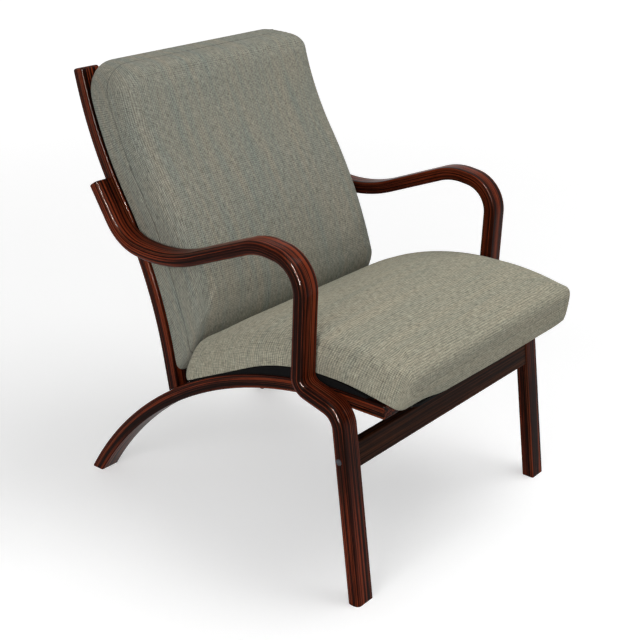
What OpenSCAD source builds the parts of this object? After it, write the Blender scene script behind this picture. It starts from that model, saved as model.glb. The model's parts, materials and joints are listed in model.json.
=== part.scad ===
// Bentwood lounge chair: two bent arm and leg strips, two arched seat rails, two bent back
// uprights, cross rails, and an upholstered seat and back on curved panels.
// +X is the way the chair faces, +Y is the sitter's left, +Z is up and the floor is z = 0.
// Every bent strip is a list of corners [x, z, bend radius] of its centre line, seen from the side.

/* [Laminated strips] */
// Clear width between the two arms
inner_w = 530; // [470:5:640]
// Width of a strip, across the chair
strip_w = 42; // [34:1:52]
// Thickness of a strip, across its laminations
strip_t = 25; // [20:1:30]
// Rounding of the outer edges of the arm strips
arm_edge_r = 9; // [4:0.5:9.5]
// Rounding of all the other strip edges
rail_edge_r = 3; // [1:0.5:5]

/* [Arm and front leg] */
// Front leg at the floor, forward of the middle of the chair
foot_x = 320; // [300:1:340]
// Backward lean of the front leg at its top
leg_lean = 41; // [20:1:60]
// Height of the bend at the top of the front leg, from the middle of the level rail
knee_z = -12; // [-18:1:-6]
// Bend radius at the top of the front leg
knee_r = 38; // [34:1:42]
// Length of the step back over the seat rail
step_run = 87; // [82:1:95]
// Rise of the step over the seat rail
step_rise = 25; // [20:1:30]
// Bend radius at the foot of the arm post
post_foot_r = 27; // [25:1:29]
// Height of the front corner of the arm
arm_front_z = 585; // [560:1:610]
// Forward lean of the arm post at its top
post_lean = 10; // [0:1:20]
// Bend radius at the front of the arm
arm_front_r = 61; // [52:1:63]
// Distance from the arm's front corner back to its crest
crest_run = 96; // [94:1:110]
// Rise of the crest over the front corner
crest_rise = 14; // [4:1:24]
// Bend radius at the crest
crest_r = 110; // [90:1:115]
// Distance from the crest back to the dip of the arm rest
dip_run = 217; // [205:1:230]
// Drop from the crest to the dip
dip_drop = 84; // [70:1:95]
// Bend radius at the dip
dip_r = 280; // [220:5:285]
// Height at which the arm turns up along the back upright
arm_turn_z = 532; // [528:1:540]
// Bend radius where the arm turns up
arm_turn_r = 92; // [70:1:94]
// Height of the arm's rear end
arm_end_z = 632; // [610:1:660]

/* [Seat rail and rear leg] */
// Front end of the seat rail, forward of the middle of the chair
rail_front_x = 348; // [330:1:356]
// Height of the level front of the seat rail, at its middle
rail_z = 356; // [350:1:362]
// Where the level front ends and the arch begins
arch_start_x = 272; // [262:1:282]
// Radius of the arch, at the middle of the strip
arch_r = 770; // [755:5:790]

/* [Back upright] */
// Lower corner of the upright, behind the middle of the chair
low_bend_x = -183; // [-190:1:-176]
// Height of the lower corner
low_bend_z = 461; // [450:1:475]
// Bend radius at the lower corner
low_bend_r = 780; // [600:10:800]
// Backward lean of the foot of the upright, over the drop below
foot_lean = 33; // [20:1:45]
// Drop over which that lean is measured
foot_drop = 179; // [160:1:200]
// Distance from the lower corner back to the upper corner
lean_run = 145; // [130:1:160]
// Rise from the lower corner to the upper corner
lean_rise = 231; // [215:1:250]
// Bend radius at the upper corner
high_bend_r = 720; // [500:10:740]
// Backward lean of the top of the upright, above the upper corner
top_lean = 33; // [20:1:45]
// Length of the upright above the upper corner, as a rise
top_rise = 136; // [125:1:160]

/* [Cross rails] */
// Width of the front cross rail, along the front leg
front_rail_w = 46; // [38:1:56]
// Thickness of the front cross rail
front_rail_t = 20; // [16:1:22]
// Height of the middle of the front cross rail
front_rail_z = 264; // [200:1:275]
// Width of the rear cross rail, along the arch
rear_rail_w = 46; // [38:1:60]
// Thickness of the rear cross rail
rear_rail_t = 20; // [16:1:22]
// Angle of the rear cross rail round the arch, forward of the upright's foot
rear_rail_angle = 4.1; // [3.1:0.1:6]

/* [Seat] */
// Rear edge of the seat panel, behind the middle of the chair
seat_rear_x = -108; // [-112:1:-100]
// Rise of the rear edge of the seat panel over the arch below it
seat_rear_rise = 11; // [11:1:20]
// Rise of the seat panel's crown corner over the middle of the level rail
seat_rise = 53; // [49:1:61]
// Distance from the rear edge forward to the crown corner
seat_crown_run = 277; // [270:1:285]
// Bend radius of the seat panel at its crown
seat_crown_r = 410; // [380:5:440]
// Distance from the crown corner forward to the front edge
seat_front_run = 215; // [205:1:222]
// Drop from the crown corner to the front edge
seat_front_drop = 48; // [42:1:49]
// Gap between the seat cushion and each arm
seat_side_gap = 3; // [1:0.5:20]
// Thickness of the seat cushion at its sides
seat_t = 64; // [45:1:75]
// Crown of the seat cushion over its sides
seat_crown = 10; // [4:1:24]
// Thickness of the seat panel
seat_panel_t = 6; // [4:0.5:6.5]

/* [Back] */
// Height of the bottom of the back cushion, from the middle of the level rail
back_low_z = -70; // [-72:1:-56]
// Height of the top of the back cushion
back_top_z = 832; // [780:1:834]
// How far each side of the back cushion stands in from the arms
back_side_gap = 4; // [2:0.5:30]
// Thickness of the back cushion at its sides, with its panel
back_t = 92; // [60:1:96]
// Crown of the back cushion over its sides
back_crown = 6; // [4:1:16]
// Length of the rounded lower end of the back cushion
back_toe = 87; // [70:1:100]
// Thickness of the back panel
back_panel_t = 8; // [5:0.5:12]

/* [Cover and fasteners] */
// Thickness of the woven cover with its lining
cloth_t = 2; // [1:0.25:3]
// Diameter of the through bolts
bolt_d = 6; // [5:0.5:8]
// Diameter of the wood screws
screw_d = 5; // [4:0.5:6]
// Diameter of the dowels
dowel_d = 10; // [8:1:12]
// Diameter of a screw head, cap or washer face
head_d = 11; // [9:0.5:14]
// Clearance round a bolt, screw or dowel
hole_gap = 0.2; // [0.1:0.05:0.4]
// Glue and seating clearance between pieces
seat_gap = 0.3; // [0.2:0.05:0.4]

/* [Hidden] */
$fn = 48;

half_in = inner_w / 2;
rail_in = half_in - strip_w;
seat_w = inner_w - 2 * seat_side_gap;
back_w = inner_w - 2 * back_side_gap;
bend_step = 6;
below_floor = 40;
far = 2000;
past = 1;
wood = [0.27, 0.10, 0.06];
black = [0.05, 0.05, 0.05];
cloth = [0.56, 0.60, 0.53];
foam = [0.93, 0.88, 0.70];
steel = [0.72, 0.73, 0.75];

// Centre lines of the bent strips

low_bend = [low_bend_x, low_bend_z];
foot_reach = 1.5;
upright_high = low_bend + [-lean_run, lean_rise];
foot_dir = unit([foot_lean, -foot_drop]);
upright_path = [
    [low_bend[0] + foot_reach * foot_lean, low_bend[1] - foot_reach * foot_drop, 0],
    [low_bend[0], low_bend[1], low_bend_r],
    [upright_high[0], upright_high[1], high_bend_r],
    [upright_high[0] - top_lean, upright_high[1] + top_rise, 0]];

// Point on the straight middle of the upright at height z
function on_upright(z) = low_bend_x - (z - low_bend_z) * lean_run / lean_rise;

knee = [foot_x - leg_lean, rail_z + knee_z];
post_foot = knee + [-step_run, step_rise];
arm_front = [post_foot[0] + post_lean, arm_front_z];
crest = arm_front + [-crest_run, crest_rise];
dip = crest + [-dip_run, -dip_drop];
arm_path = [
    [foot_x + leg_lean * below_floor / knee[1], -below_floor, 0],
    [knee[0], knee[1], knee_r],
    [post_foot[0], post_foot[1], post_foot_r],
    [arm_front[0], arm_front[1], arm_front_r],
    [crest[0], crest[1], crest_r],
    [dip[0], dip[1], dip_r],
    [on_upright(arm_turn_z), arm_turn_z, arm_turn_r],
    [on_upright(arm_end_z), arm_end_z, 0]];

arch_centre = [arch_start_x, rail_z - arch_r];
arch_top_r = arch_r + strip_t / 2;
arch_low_r = arch_r - strip_t / 2;
arch_spare = 5;
arch_sweep = acos((arch_r - rail_z) / arch_r) + arch_spare;
rail_top_z = rail_z + strip_t / 2;

// How far from a point, in a direction, to the circle of radius r about the arch's centre
function reach(from, dir, r) =
    let (v = from - arch_centre, b = v * dir) -b - sqrt(b * b - v * v + r * r);
upright_seat = low_bend + foot_dir * reach(low_bend, foot_dir, arch_top_r);
rear_rail_turn = asin((arch_start_x - upright_seat[0]) / arch_top_r) - rear_rail_angle;

// Panels, from rear to front and from bottom to top

seat_rear_z = arch_centre[1] + sqrt(pow(arch_top_r, 2) - pow(seat_rear_x - arch_start_x, 2))
    + seat_rear_rise;
seat_crown_z = rail_z + seat_rise;
seat_path = [
    [seat_rear_x, seat_rear_z, 0],
    [seat_rear_x + seat_crown_run, seat_crown_z, seat_crown_r],
    [seat_rear_x + seat_crown_run + seat_front_run, seat_crown_z - seat_front_drop, 0]];
back_path = beside(upright_path, -strip_t / 2 - seat_gap);

// Path functions

function unit(v) = v / norm(v);
function flat(p) = [p[0], p[1]];
function heading(p, i) = atan2(p[i + 1][1] - p[i][1], p[i + 1][0] - p[i][0]);
function wrap(a) = a > 180 ? a - 360 : a < -180 ? a + 360 : a;
function bend(p, i) = wrap(heading(p, i) - heading(p, i - 1));
function setback(p, i) =
    i == 0 || i == len(p) - 1 ? 0 : p[i][2] * tan(abs(bend(p, i)) / 2);
function ahead(p, i) = [cos(heading(p, i)), sin(heading(p, i))];
function normal(p, i) = [-sin(heading(p, i)), cos(heading(p, i))];

// The same path moved sideways, to the left of its direction where d is positive
function beside(p, d) = [for (i = [0 : len(p) - 1])
    let (a = normal(p, max(i - 1, 0)), b = normal(p, min(i, len(p) - 2)),
        q = flat(p[i]) + d * (a + b) / (1 + a * b))
    [q[0], q[1], p[i][2] == 0 ? 0 : p[i][2] - d * sign(bend(p, i))]];

// A path as a run of pieces [x, z, heading, length, turn]
function pieces(p) = [for (i = [0 : len(p) - 2]) for (k = [0, 1])
    if (k == 0 || i < len(p) - 2)
        let (h = heading(p, i), q = flat(p[k + i]))
        k == 0
            ? let (s = q + ahead(p, i) * setback(p, i))
                [s[0], s[1], h,
                    norm(flat(p[i + 1]) - q) - setback(p, i) - setback(p, i + 1), 0]
            : let (s = q - ahead(p, i) * setback(p, i + 1))
                [s[0], s[1], h, p[i + 1][2] * abs(bend(p, i + 1)) * PI / 180, bend(p, i + 1)]];

// Place [x, z, heading] at distance s along one piece, and along a whole run
function on_piece(c, s) =
    c[4] == 0
        ? [c[0] + s * cos(c[2]), c[1] + s * sin(c[2]), c[2]]
        : let (r = c[3] * 180 / PI / c[4], h = c[2] + c[4] * s / c[3])
            [c[0] + r * (sin(h) - sin(c[2])), c[1] - r * (cos(h) - cos(c[2])), h];
function along(c, s, i = 0) =
    i == len(c) - 1 || s <= c[i][3] ? on_piece(c[i], s) : along(c, s - c[i][3], i + 1);
function run_length(c, i = 0) = i == len(c) ? 0 : c[i][3] + run_length(c, i + 1);

// Places to draw a section at: piece ends, and steps round each bend
function stations(c) = [for (i = [0 : len(c) - 1])
    let (n = max(1, ceil(abs(c[i][4]) / bend_step)))
    for (k = [0 : i == len(c) - 1 ? n : n - 1]) on_piece(c[i], c[i][3] * k / n)];

// A point [x, y, z] that lies n to the left of a place, and y across the chair
function off(place, n, y) =
    [place[0] - n * sin(place[2]), y, place[1] + n * cos(place[2])];

// Faces between rings of m points each, closed at both ends
function ring_faces(count, m) = concat(
    [for (j = [0 : count - 2]) for (k = [0 : m - 1])
        [j * m + k, j * m + (k + 1) % m, (j + 1) * m + (k + 1) % m, (j + 1) * m + k]],
    [[for (k = [0 : m - 1]) m - 1 - k]],
    [[for (k = [0 : m - 1]) (count - 1) * m + k]]);

// Quarter round of a section corner, from angle a, centred on c
function corner(c, r, a, n) = [for (k = [0 : n]) c + r * [cos(a + 90 * k / n), sin(a + 90 * k / n)]];

// Section of a strip: [offset to the left, distance out from its inner face]
function strip_section(r_in, r_out, w) =
    let (h = strip_t / 2)
    concat(
        corner([h - r_in, r_in], r_in, -90, 2),
        corner([h - r_out, w - r_out], r_out, 0, 4),
        corner([r_out - h, w - r_out], r_out, 90, 4),
        corner([r_in - h, r_in], r_in, 180, 2));

module sweep(p, section) {
    places = stations(pieces(p));
    points = [for (q = places) for (s = section) off(q, s[0], -s[1])];
    polyhedron(points, ring_faces(len(places), len(section)), convexity = 6);
}

module mirrored(side) {
    if (side > 0) mirror([0, 1, 0]) children();
    else children();
}

// A round bar along Y from y0 to y1
module bar(x, z, d, y0, y1) {
    translate([x, y0, z]) rotate([-90, 0, 0]) cylinder(d = d, h = y1 - y0);
}

module under_floor() {
    translate([0, 0, -far / 2]) cube([far, far, far], center = true);
}

// A board of length l along Y, with rounded edges, centred
module board(t, w, l, r = rail_edge_r) {
    translate([0, l / 2, 0]) rotate([90, 0, 0]) linear_extrude(l) {
        square([t - 2 * r, w], center = true);
        square([t, w - 2 * r], center = true);
        for (x = [-1, 1]) for (z = [-1, 1])
            translate([x * (t / 2 - r), z * (w / 2 - r)]) circle(r);
    }
}

// Side view of a layer between n0 and n1 to the left of a path
module layer_profile(p, n0, n1) {
    q = stations(pieces(p));
    polygon(concat(
        [for (c = q) [c[0] - n1 * sin(c[2]), c[1] + n1 * cos(c[2])]],
        [for (i = [len(q) - 1 : -1 : 0])
            [q[i][0] - n0 * sin(q[i][2]), q[i][1] + n0 * cos(q[i][2])]]));
}

// A side view drawn out across the chair, from y0 to y1
module across(y0, y1) {
    translate([0, y1, 0]) rotate([90, 0, 0]) linear_extrude(y1 - y0) children();
}

// Part of a path, from distance s0 to s1 along it
function part_path(p, s0, s1) =
    let (c = pieces(p), a = along(c, s0), b = along(c, s1))
    concat([[a[0], a[1], 0]], [for (i = [1 : len(p) - 2]) p[i]], [[b[0], b[1], 0]]);

// Fasteners

head_t = 3;
cap_t = 2;
front_rail_x = foot_x - leg_lean * front_rail_z / knee[1];
front_rail_tilt = atan2(leg_lean, knee[1]);
bolt_reach = 46;
nut_y = 32;
nut_d = 12;
nut_l = 15;
pin_rise = 14;
pin_d = 8;
pin_in_leg = 15;
pin_in_rail = 20;
step_middle = (knee + post_foot) / 2;
step_pitch = 24;
step_screws = [for (k = [-0.5, 0.5])
    step_middle + k * step_pitch * unit([-step_run, step_rise])];
arm_screw_up = 46;
arm_screw_down = 22;
arm_screws = [for (z = [arm_turn_z + arm_screw_up, arm_end_z - arm_screw_down])
    [on_upright(z), z]];
screw_bite = 24;
dowel_l = 44;
dowel_pitch = 18;
dowel_tilt = -atan2(foot_lean, foot_drop);
rear_dowel_l = 50;
rear_dowel_pitch = 22;
tee_d = 16;
tee_t = 1.5;
tee_barrel_d = 9;

// Frames to work in

module in_front_rail() {
    translate([front_rail_x, 0, front_rail_z]) rotate([0, -front_rail_tilt, 0]) children();
}

module in_rear_rail() {
    translate([arch_centre[0], 0, arch_centre[1]]) rotate([0, -rear_rail_turn, 0])
        translate([0, 0, arch_r]) rotate([0, 90, 0]) children();
}

module at_place(q, y) {
    translate([q[0], y, q[1]]) rotate([0, -q[2], 0]) children();
}

// Fastener shapes, grown by gap where they are the bores

module front_bolt(gap) {
    outer = -half_in - strip_w;
    bar(0, 0, bolt_d + 2 * gap, outer + cap_t, bolt_reach - half_in + gap);
    bar(0, 0, head_d + 2 * gap, outer + cap_t - gap, outer + cap_t + head_t + gap);
}

module front_pin(gap) {
    bar(0, 0, pin_d + 2 * gap, -half_in - pin_in_leg - gap, -half_in + pin_in_rail + gap);
}

module arm_rail_screw(s, gap) {
    bar(s[0], s[1], screw_d + 2 * gap, -half_in - screw_bite - gap, -rail_in);
    bar(s[0], s[1], head_d + 2 * gap, -rail_in - head_t - gap, -rail_in);
}

module upright_dowel(k, gap) {
    translate([upright_seat[0], -rail_in - strip_w / 2 + k * dowel_pitch / 2, upright_seat[1]])
        rotate([0, dowel_tilt, 0])
        cylinder(d = dowel_d + 2 * gap, h = dowel_l + 2 * gap, center = true);
}

module rear_dowel(k, gap) {
    in_rear_rail() translate([0, 0, k * rear_dowel_pitch / 2])
        bar(0, 0, dowel_d + 2 * gap, -rail_in - rear_dowel_l / 2 - gap, -rail_in + rear_dowel_l / 2 + gap);
}

seat_run = pieces(seat_path);
seat_length = run_length(seat_run);
seat_bolt_s = [95, 365];

module seat_bolt(s, gap) {
    q = along(seat_run, s);
    d = reach([q[0], q[1]], [sin(q[2]), -cos(q[2])], arch_low_r);
    at_place(q, -rail_in - strip_w / 2) {
        translate([0, 0, head_t - d]) cylinder(d = bolt_d + 2 * gap, h = d - head_t - tee_t);
        translate([0, 0, -d - gap]) cylinder(d = head_d + 2 * gap, h = head_t + 2 * gap);
    }
}

module tee_nut(s, gap) {
    at_place(along(seat_run, s), -rail_in - strip_w / 2) {
        translate([0, 0, -tee_t - gap]) cylinder(d = tee_d + 2 * gap, h = tee_t + gap);
        translate([0, 0, -seat_panel_t]) cylinder(d = tee_barrel_d + 2 * gap, h = seat_panel_t - tee_t);
    }
}

back_run = pieces(back_path);
back_start = (rail_z + back_low_z - back_path[0][1]) / sin(heading(back_path, 0));
back_end = run_length(back_run) - (back_path[3][1] - back_top_z) / sin(heading(back_path, 2));
back_screw_low = 60;
back_screw_top = 40;
back_screw_count = 4;
back_screw_tip = 2.5;
back_screw_pitch =
    (back_end - back_start - back_screw_low - back_screw_top) / (back_screw_count - 1);
back_screw_s = [for (k = [0 : back_screw_count - 1])
    back_start + back_screw_low + k * back_screw_pitch];

module back_screw(s, gap) {
    at_place(along(back_run, s), -rail_in - strip_w / 2) {
        translate([0, 0, back_screw_tip - back_panel_t - gap])
            cylinder(d = screw_d + 2 * gap,
                h = back_panel_t - back_screw_tip + seat_gap + strip_t - head_t + gap);
        translate([0, 0, seat_gap + strip_t - head_t - gap])
            cylinder(d = head_d + 2 * gap, h = head_t + gap);
    }
}

// Bent wood

module arm_leg(side) {
    color(wood) mirrored(side) difference() {
        translate([0, -half_in, 0])
            sweep(arm_path, strip_section(rail_edge_r, arm_edge_r, strip_w));
        under_floor();
        in_front_rail() {
            front_bolt(hole_gap);
            bar(0, 0, head_d + 2 * hole_gap, -half_in - strip_w - past, -half_in - strip_w + cap_t);
            translate([0, 0, pin_rise]) front_pin(hole_gap);
        }
        for (s = concat(step_screws, arm_screws)) arm_rail_screw(s, hole_gap);
    }
}

// Section of a rail, centred: x is outward from the arch's centre
module rail_section() {
    r = rail_edge_r;
    square([strip_t, strip_w - 2 * r], center = true);
    square([strip_t - 2 * r, strip_w], center = true);
    for (s = [-1, 1]) for (w = [-1, 1])
        translate([s * (strip_t / 2 - r), w * (strip_w / 2 - r)]) circle(r);
}

// Level rail and arch in one, centred across the chair
module rail_and_arch() {
    translate([arch_start_x, 0, rail_z]) rotate([90, 0, 0]) rotate([90, 0, 90])
        linear_extrude(rail_front_x - arch_start_x) rail_section();
    translate([arch_start_x, 0, arch_centre[1]]) rotate([90, 0, 0]) rotate(90)
        rotate_extrude(angle = arch_sweep, $fn = 180)
        translate([arch_r, 0]) rail_section();
}

module seat_rail(side) {
    color(wood) difference() {
        translate([0, side * (rail_in + strip_w / 2), 0]) rail_and_arch();
        under_floor();
        mirrored(side) {
            for (s = step_screws) arm_rail_screw(s, hole_gap);
            for (s = seat_bolt_s) seat_bolt(s, hole_gap);
            for (k = [-1, 1]) {
                upright_dowel(k, hole_gap);
                rear_dowel(k, hole_gap);
            }
        }
    }
}

module back_upright(side) {
    color(wood) mirrored(side) difference() {
        translate([0, -rail_in, 0])
            sweep(upright_path, strip_section(rail_edge_r, rail_edge_r, strip_w));
        translate([arch_start_x, 0, arch_centre[1]]) rotate([90, 0, 0])
            cylinder(r = arch_top_r + seat_gap, h = far, center = true, $fn = 360);
        for (s = arm_screws) arm_rail_screw(s, hole_gap);
        for (k = [-1, 1]) upright_dowel(k, hole_gap);
        for (s = back_screw_s) back_screw(s, hole_gap);
    }
}

module front_cross_rail() {
    color(wood) in_front_rail() difference() {
        board(front_rail_t, front_rail_w, inner_w);
        for (side = [-1, 1]) mirrored(side) {
            front_bolt(hole_gap);
            translate([0, 0, pin_rise]) front_pin(hole_gap);
            front_nut_bore();
        }
    }
}

module front_nut_bore() {
    translate([-front_rail_t / 2 - past, nut_y - half_in, 0]) rotate([0, 90, 0])
        cylinder(d = nut_d + 2 * hole_gap, h = front_rail_t / 2 + past + nut_l / 2 + hole_gap);
}

module rear_cross_rail() {
    color(wood) difference() {
        in_rear_rail() board(rear_rail_t, rear_rail_w, 2 * rail_in);
        for (side = [-1, 1]) mirrored(side) for (k = [-1, 1]) rear_dowel(k, hole_gap);
    }
}

// Seat and back panels, runners and thin covers

panel_inset = 4;
arch_meet_x =
    let (c = seat_path[1], f = seat_path[2], run = f[0] - c[0], drop = c[1] - f[1],
        t = seat_panel_t * norm([run, drop]) / run)
    c[0] + (c[1] - t - rail_top_z - seat_gap) * run / drop;

module seat_panel() {
    w = seat_w / 2 - panel_inset;
    color(black) difference() {
        across(-w, w) layer_profile(
            part_path(seat_path, panel_inset, seat_length - panel_inset), -seat_panel_t, 0);
        for (side = [-1, 1]) mirrored(side) {
            translate([arch_meet_x - seat_gap, -far - rail_in + seat_gap, 0])
                cube([far, far, far]);
            for (s = seat_bolt_s) {
                seat_bolt(s, hole_gap);
                tee_nut(s, hole_gap);
            }
        }
    }
}

runner_w = 34;
runner_rear = 6;
runner_front = 12;

module seat_runner(side) {
    x0 = seat_rear_x + runner_rear;
    color(black) mirrored(side) difference() {
        across(-rail_in - strip_w / 2 - runner_w / 2, -rail_in - strip_w / 2 + runner_w / 2)
            intersection() {
                difference() {
                    layer_profile(seat_path, -seat_panel_t - strip_t, -seat_panel_t);
                    translate(arch_centre) circle(r = arch_top_r + seat_gap, $fn = 360);
                    translate([arch_start_x, 0]) square([far, rail_top_z + seat_gap]);
                }
                translate([x0, 0]) square([arch_meet_x - runner_front - x0, far]);
            }
        for (s = seat_bolt_s) seat_bolt(s, hole_gap);
    }
}

dust_t = 0.8;
dust_side = 2;
dust_rear = 15;
dust_front = 12;

module seat_dust_cover() {
    w = rail_in - dust_side;
    p = part_path(seat_path, dust_rear, seat_length - dust_front);
    color(black) across(-w, w)
        layer_profile(p, -seat_panel_t - seat_gap - dust_t, -seat_panel_t - seat_gap);
}

// The cover comes down round the edge of the back panel
back_panel_inset = 10;

module back_panel() {
    w = back_w / 2 - back_panel_inset;
    p = part_path(back_path, back_start + back_panel_inset, back_end - back_panel_inset);
    color(black) difference() {
        across(-w, w) layer_profile(p, -back_panel_t, 0);
        for (side = [-1, 1]) mirrored(side)
            for (s = back_screw_s) back_screw(s, hole_gap);
    }
}

rear_cover_inset = 14;

module back_rear_cover() {
    w = rail_in - seat_gap;
    p = part_path(back_path, back_start + rear_cover_inset, back_end - rear_cover_inset);
    color(cloth) across(-w, w) layer_profile(p, seat_gap, seat_gap + cloth_t);
}

// Cushions
// A cushion is a stack of rounded rings on its panel, [inset, share of the ring kept, height].
// Its values are [run, start, end, width, thickness, crown, toe, toe power, tip, edge inset,
// edge height, plan corner radius, height of its base, side it swells to].

seat_toe = 1.1 * seat_t;
seat_edge_inset = 16;
seat_edge_rise = 18;
seat_plan_r = 30;
seat_pad = [seat_run, 0, seat_length, seat_w, seat_t, seat_crown,
    seat_toe, 1, 0, seat_edge_inset, seat_edge_rise, seat_plan_r, 0, 1];
back_toe_power = 1.6;
back_tip = back_t * top_lean / top_rise;
back_edge_inset = 28;
back_edge_rise = 30;
back_plan_r = 46;
back_pad = [back_run, back_start, back_end, back_w, back_t, back_crown,
    back_toe, back_toe_power, back_tip, back_edge_inset, back_edge_rise, back_plan_r,
    back_panel_t, -1];
draw_in = 2;
rim_lift = 0.9;
side_swell = 1;
swell_share = 0.3;
least_r = 3;
foam_lift = 1.8;
side_points = [7, 3, 7, 3];
corner_steps = 3;
edge_steps = 3;
crown_steps = [0.78, 0.52, 0.26];
base_steps = [0.2, 0.4, 0.6, 0.8];

// Rounded rectangle of half sizes a and b, counterclockwise
function outline(a, b, r) =
    let (c = [[a - r, b - r], [r - a, b - r], [r - a, r - b], [a - r, r - b]],
        spot = function (i, ang) c[i % 4] + r * [cos(ang), sin(ang)])
    [for (i = [0 : 3]) for (k = [0 : corner_steps + side_points[i]])
        k <= corner_steps
            ? spot(i, 90 * i + 90 * k / corner_steps)
            : let (f = (k - corner_steps) / (side_points[i] + 1))
                spot(i, 90 * i + 90) * (1 - f) + spot(i + 1, 90 * i + 90) * f];

// Rings of a cushion shrunk by g, from the rim to the crown
function pad_rings(d, g) =
    let (t = d[4], e = d[9], h = d[10])
    concat(
        [[g, 1, rim_lift], [g - side_swell, 1, swell_share * t], [g, 1, t - h]],
        [for (k = [1 : edge_steps]) let (q = 90 * k / edge_steps)
            [g + e * (1 - cos(q)), 1, t - h + (h - g) * sin(q)]],
        [for (k = crown_steps) [g + e, k, t - g + d[5] * (1 - k * k)]]);

// A point of a cushion at half length share v, distance y across and height n
function pad_point(d, v, y, n) =
    let (low = d[1] + d[6] * pow(max(n - d[12], 0) / (d[4] - d[12]), d[7]),
        high = d[2] - d[8] * n / d[4],
        q = along(d[0], (low + high) / 2 + v * (high - low) / 2))
    off(q, d[13] * n, y);

function pad_ring(d, ring) =
    let (a = (d[2] - d[1]) / 2, b = d[3] / 2,
        r = max(d[11] - ring[0], least_r))
    [for (p = outline(a - ring[0], b - ring[0], r))
        let (u = p[0] * ring[1] / a, w = p[1] * ring[1] / b,
            pull = draw_in * ring[1])
        pad_point(d, u * (1 - pull / a * (1 - w * w)), w * (b - pull * (1 - u * u)), ring[2])];

// Faces of a stack of rings closed by one point at its start and, where top is set, at its end
function stack_faces(count, m) = concat(
    [for (k = [0 : m - 1]) [0, 1 + (k + 1) % m, 1 + k]],
    [for (j = [0 : count - 2]) for (k = [0 : m - 1]) for (f = [0, 1])
        let (a = 1 + j * m + k, b = 1 + j * m + (k + 1) % m)
        f == 0 ? [a, b, b + m] : [a, b + m, a + m]],
    [for (k = [0 : m - 1]) let (j = 1 + (count - 1) * m) [j + k, j + (k + 1) % m, 1 + count * m]]);

module stack(start, rings, end, flip) {
    m = len(rings[0]);
    faces = stack_faces(len(rings), m);
    polyhedron(
        concat([start], [for (r = rings) each r], [end]),
        flip ? [for (f = faces) [f[2], f[1], f[0]]] : faces,
        convexity = 4);
}

function middle(d, n) = pad_point(d, 0, 0, n);
function reversed(v) = [for (i = [len(v) - 1 : -1 : 0]) v[i]];

// Shell of cloth over a cushion, open where it stands on its panel
module pad_cover(d) {
    outer = [for (r = pad_rings(d, 0)) pad_ring(d, r)];
    inner = [for (r = pad_rings(d, cloth_t)) pad_ring(d, r)];
    stack(middle(d, d[4] + d[5]), concat(reversed(outer), inner),
        middle(d, d[4] + d[5] - cloth_t), d[13] > 0);
}

module pad_foam(d) {
    g = cloth_t + seat_gap;
    base = d[12] + foam_lift;
    body = [for (r = pad_rings(d, g)) pad_ring(d, [r[0], r[1], max(r[2], base)])];
    floor_rings = [for (k = base_steps) pad_ring(d, [g, k, base])];
    stack(middle(d, base), concat(floor_rings, body), middle(d, d[4] + d[5] - g), d[13] < 0);
}

module seat_cover() {
    color(cloth) pad_cover(seat_pad);
}

module seat_foam() {
    color(foam) pad_foam(seat_pad);
}

module back_cover() {
    color(cloth) pad_cover(back_pad);
}

module back_foam() {
    color(foam) pad_foam(back_pad);
}

// Fastener nodes

module front_rail_bolts() {
    color(steel) for (side = [-1, 1]) mirrored(side) in_front_rail() front_bolt(0);
}

module front_rail_nuts() {
    color(steel) for (side = [-1, 1]) mirrored(side) in_front_rail() difference() {
        translate([-nut_l / 2, nut_y - half_in, 0]) rotate([0, 90, 0])
            cylinder(d = nut_d, h = nut_l);
        front_bolt(hole_gap);
    }
}

cap_proud = 0.5;

module front_rail_caps() {
    outer = -half_in - strip_w;
    color(black) for (side = [-1, 1]) mirrored(side) in_front_rail()
        bar(0, 0, head_d, outer - cap_proud, outer + cap_t - hole_gap);
}

module front_rail_pins() {
    color(foam) for (side = [-1, 1]) mirrored(side) in_front_rail()
        translate([0, 0, pin_rise]) front_pin(0);
}

module rear_rail_dowels() {
    color(foam) for (side = [-1, 1]) mirrored(side) for (k = [-1, 1]) rear_dowel(k, 0);
}

module arm_rail_screws() {
    color(steel) for (side = [-1, 1]) mirrored(side) for (s = step_screws) arm_rail_screw(s, 0);
}

module arm_upright_screws() {
    color(steel) for (side = [-1, 1]) mirrored(side) for (s = arm_screws) arm_rail_screw(s, 0);
}

module upright_dowels() {
    color(foam) for (side = [-1, 1]) mirrored(side) for (k = [-1, 1]) upright_dowel(k, 0);
}

module seat_bolts() {
    color(steel) for (side = [-1, 1]) mirrored(side) for (s = seat_bolt_s) seat_bolt(s, 0);
}

module seat_tee_nuts() {
    color(steel) for (side = [-1, 1]) mirrored(side) for (s = seat_bolt_s) difference() {
        tee_nut(s, 0);
        seat_bolt(s, hole_gap);
    }
}

module back_screws() {
    color(steel) for (side = [-1, 1]) mirrored(side) for (s = back_screw_s) back_screw(s, 0);
}

arm_leg(-1);  // arm_leg_right
arm_leg(1);  // arm_leg_left
seat_rail(-1);  // seat_rail_right
seat_rail(1);  // seat_rail_left
back_upright(-1);  // back_upright_right
back_upright(1);  // back_upright_left
front_cross_rail();
rear_cross_rail();
seat_panel();
seat_runner(-1);  // seat_runner_right
seat_runner(1);  // seat_runner_left
seat_foam();
seat_cover();
seat_dust_cover();
back_panel();
back_foam();
back_cover();
back_rear_cover();
front_rail_bolts();
front_rail_nuts();
front_rail_caps();
front_rail_pins();
rear_rail_dowels();
arm_rail_screws();
arm_upright_screws();
upright_dowels();
seat_bolts();
seat_tee_nuts();
back_screws();
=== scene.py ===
# Bentwood lounge chair: finer bent strips, upholstery, materials, light and camera round the
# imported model. Lengths are in millimetres up to the point where a mesh is made, then metres.
import json
import math

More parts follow.
